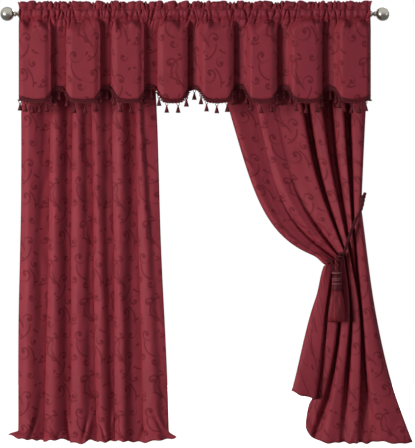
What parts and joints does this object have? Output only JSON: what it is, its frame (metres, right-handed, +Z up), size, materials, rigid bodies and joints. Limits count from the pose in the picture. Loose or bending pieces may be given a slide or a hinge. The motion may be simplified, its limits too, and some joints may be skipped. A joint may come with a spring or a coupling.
{
  "type": "blackout curtain panels and valance on a curtain rod",
  "caption": "Gathered blackout curtain panels with a scalloped, tassel-trimmed valance on a ball-ended rod, the left panel hanging straight and the right drawn aside by a rope tie.",
  "frame": {"origin": "middle of the rod's axis", "axes": "+X along the rod, to the right as seen from the room; +Y towards the wall; +Z up"},
  "size_m": [1.9796, 0.1678, 2.1332],
  "materials": {
    "jacquard_cloth": "satin jacquard weave",
    "braid": "corded braid and cut yarn",
    "rope": "twisted rayon cord",
    "nickel_plate": "polished nickel"
  },
  "bodies": {
    "root": {"panel_left": "jacquard_cloth", "panel_right": "jacquard_cloth", "valance": "jacquard_cloth", "tassel_trim": "braid", "tie_rope": "rope", "tie_tassel": "rope", "rod": "nickel_plate", "finial_left": "nickel_plate", "finial_right": "nickel_plate"}
  },
  "joints": []
}
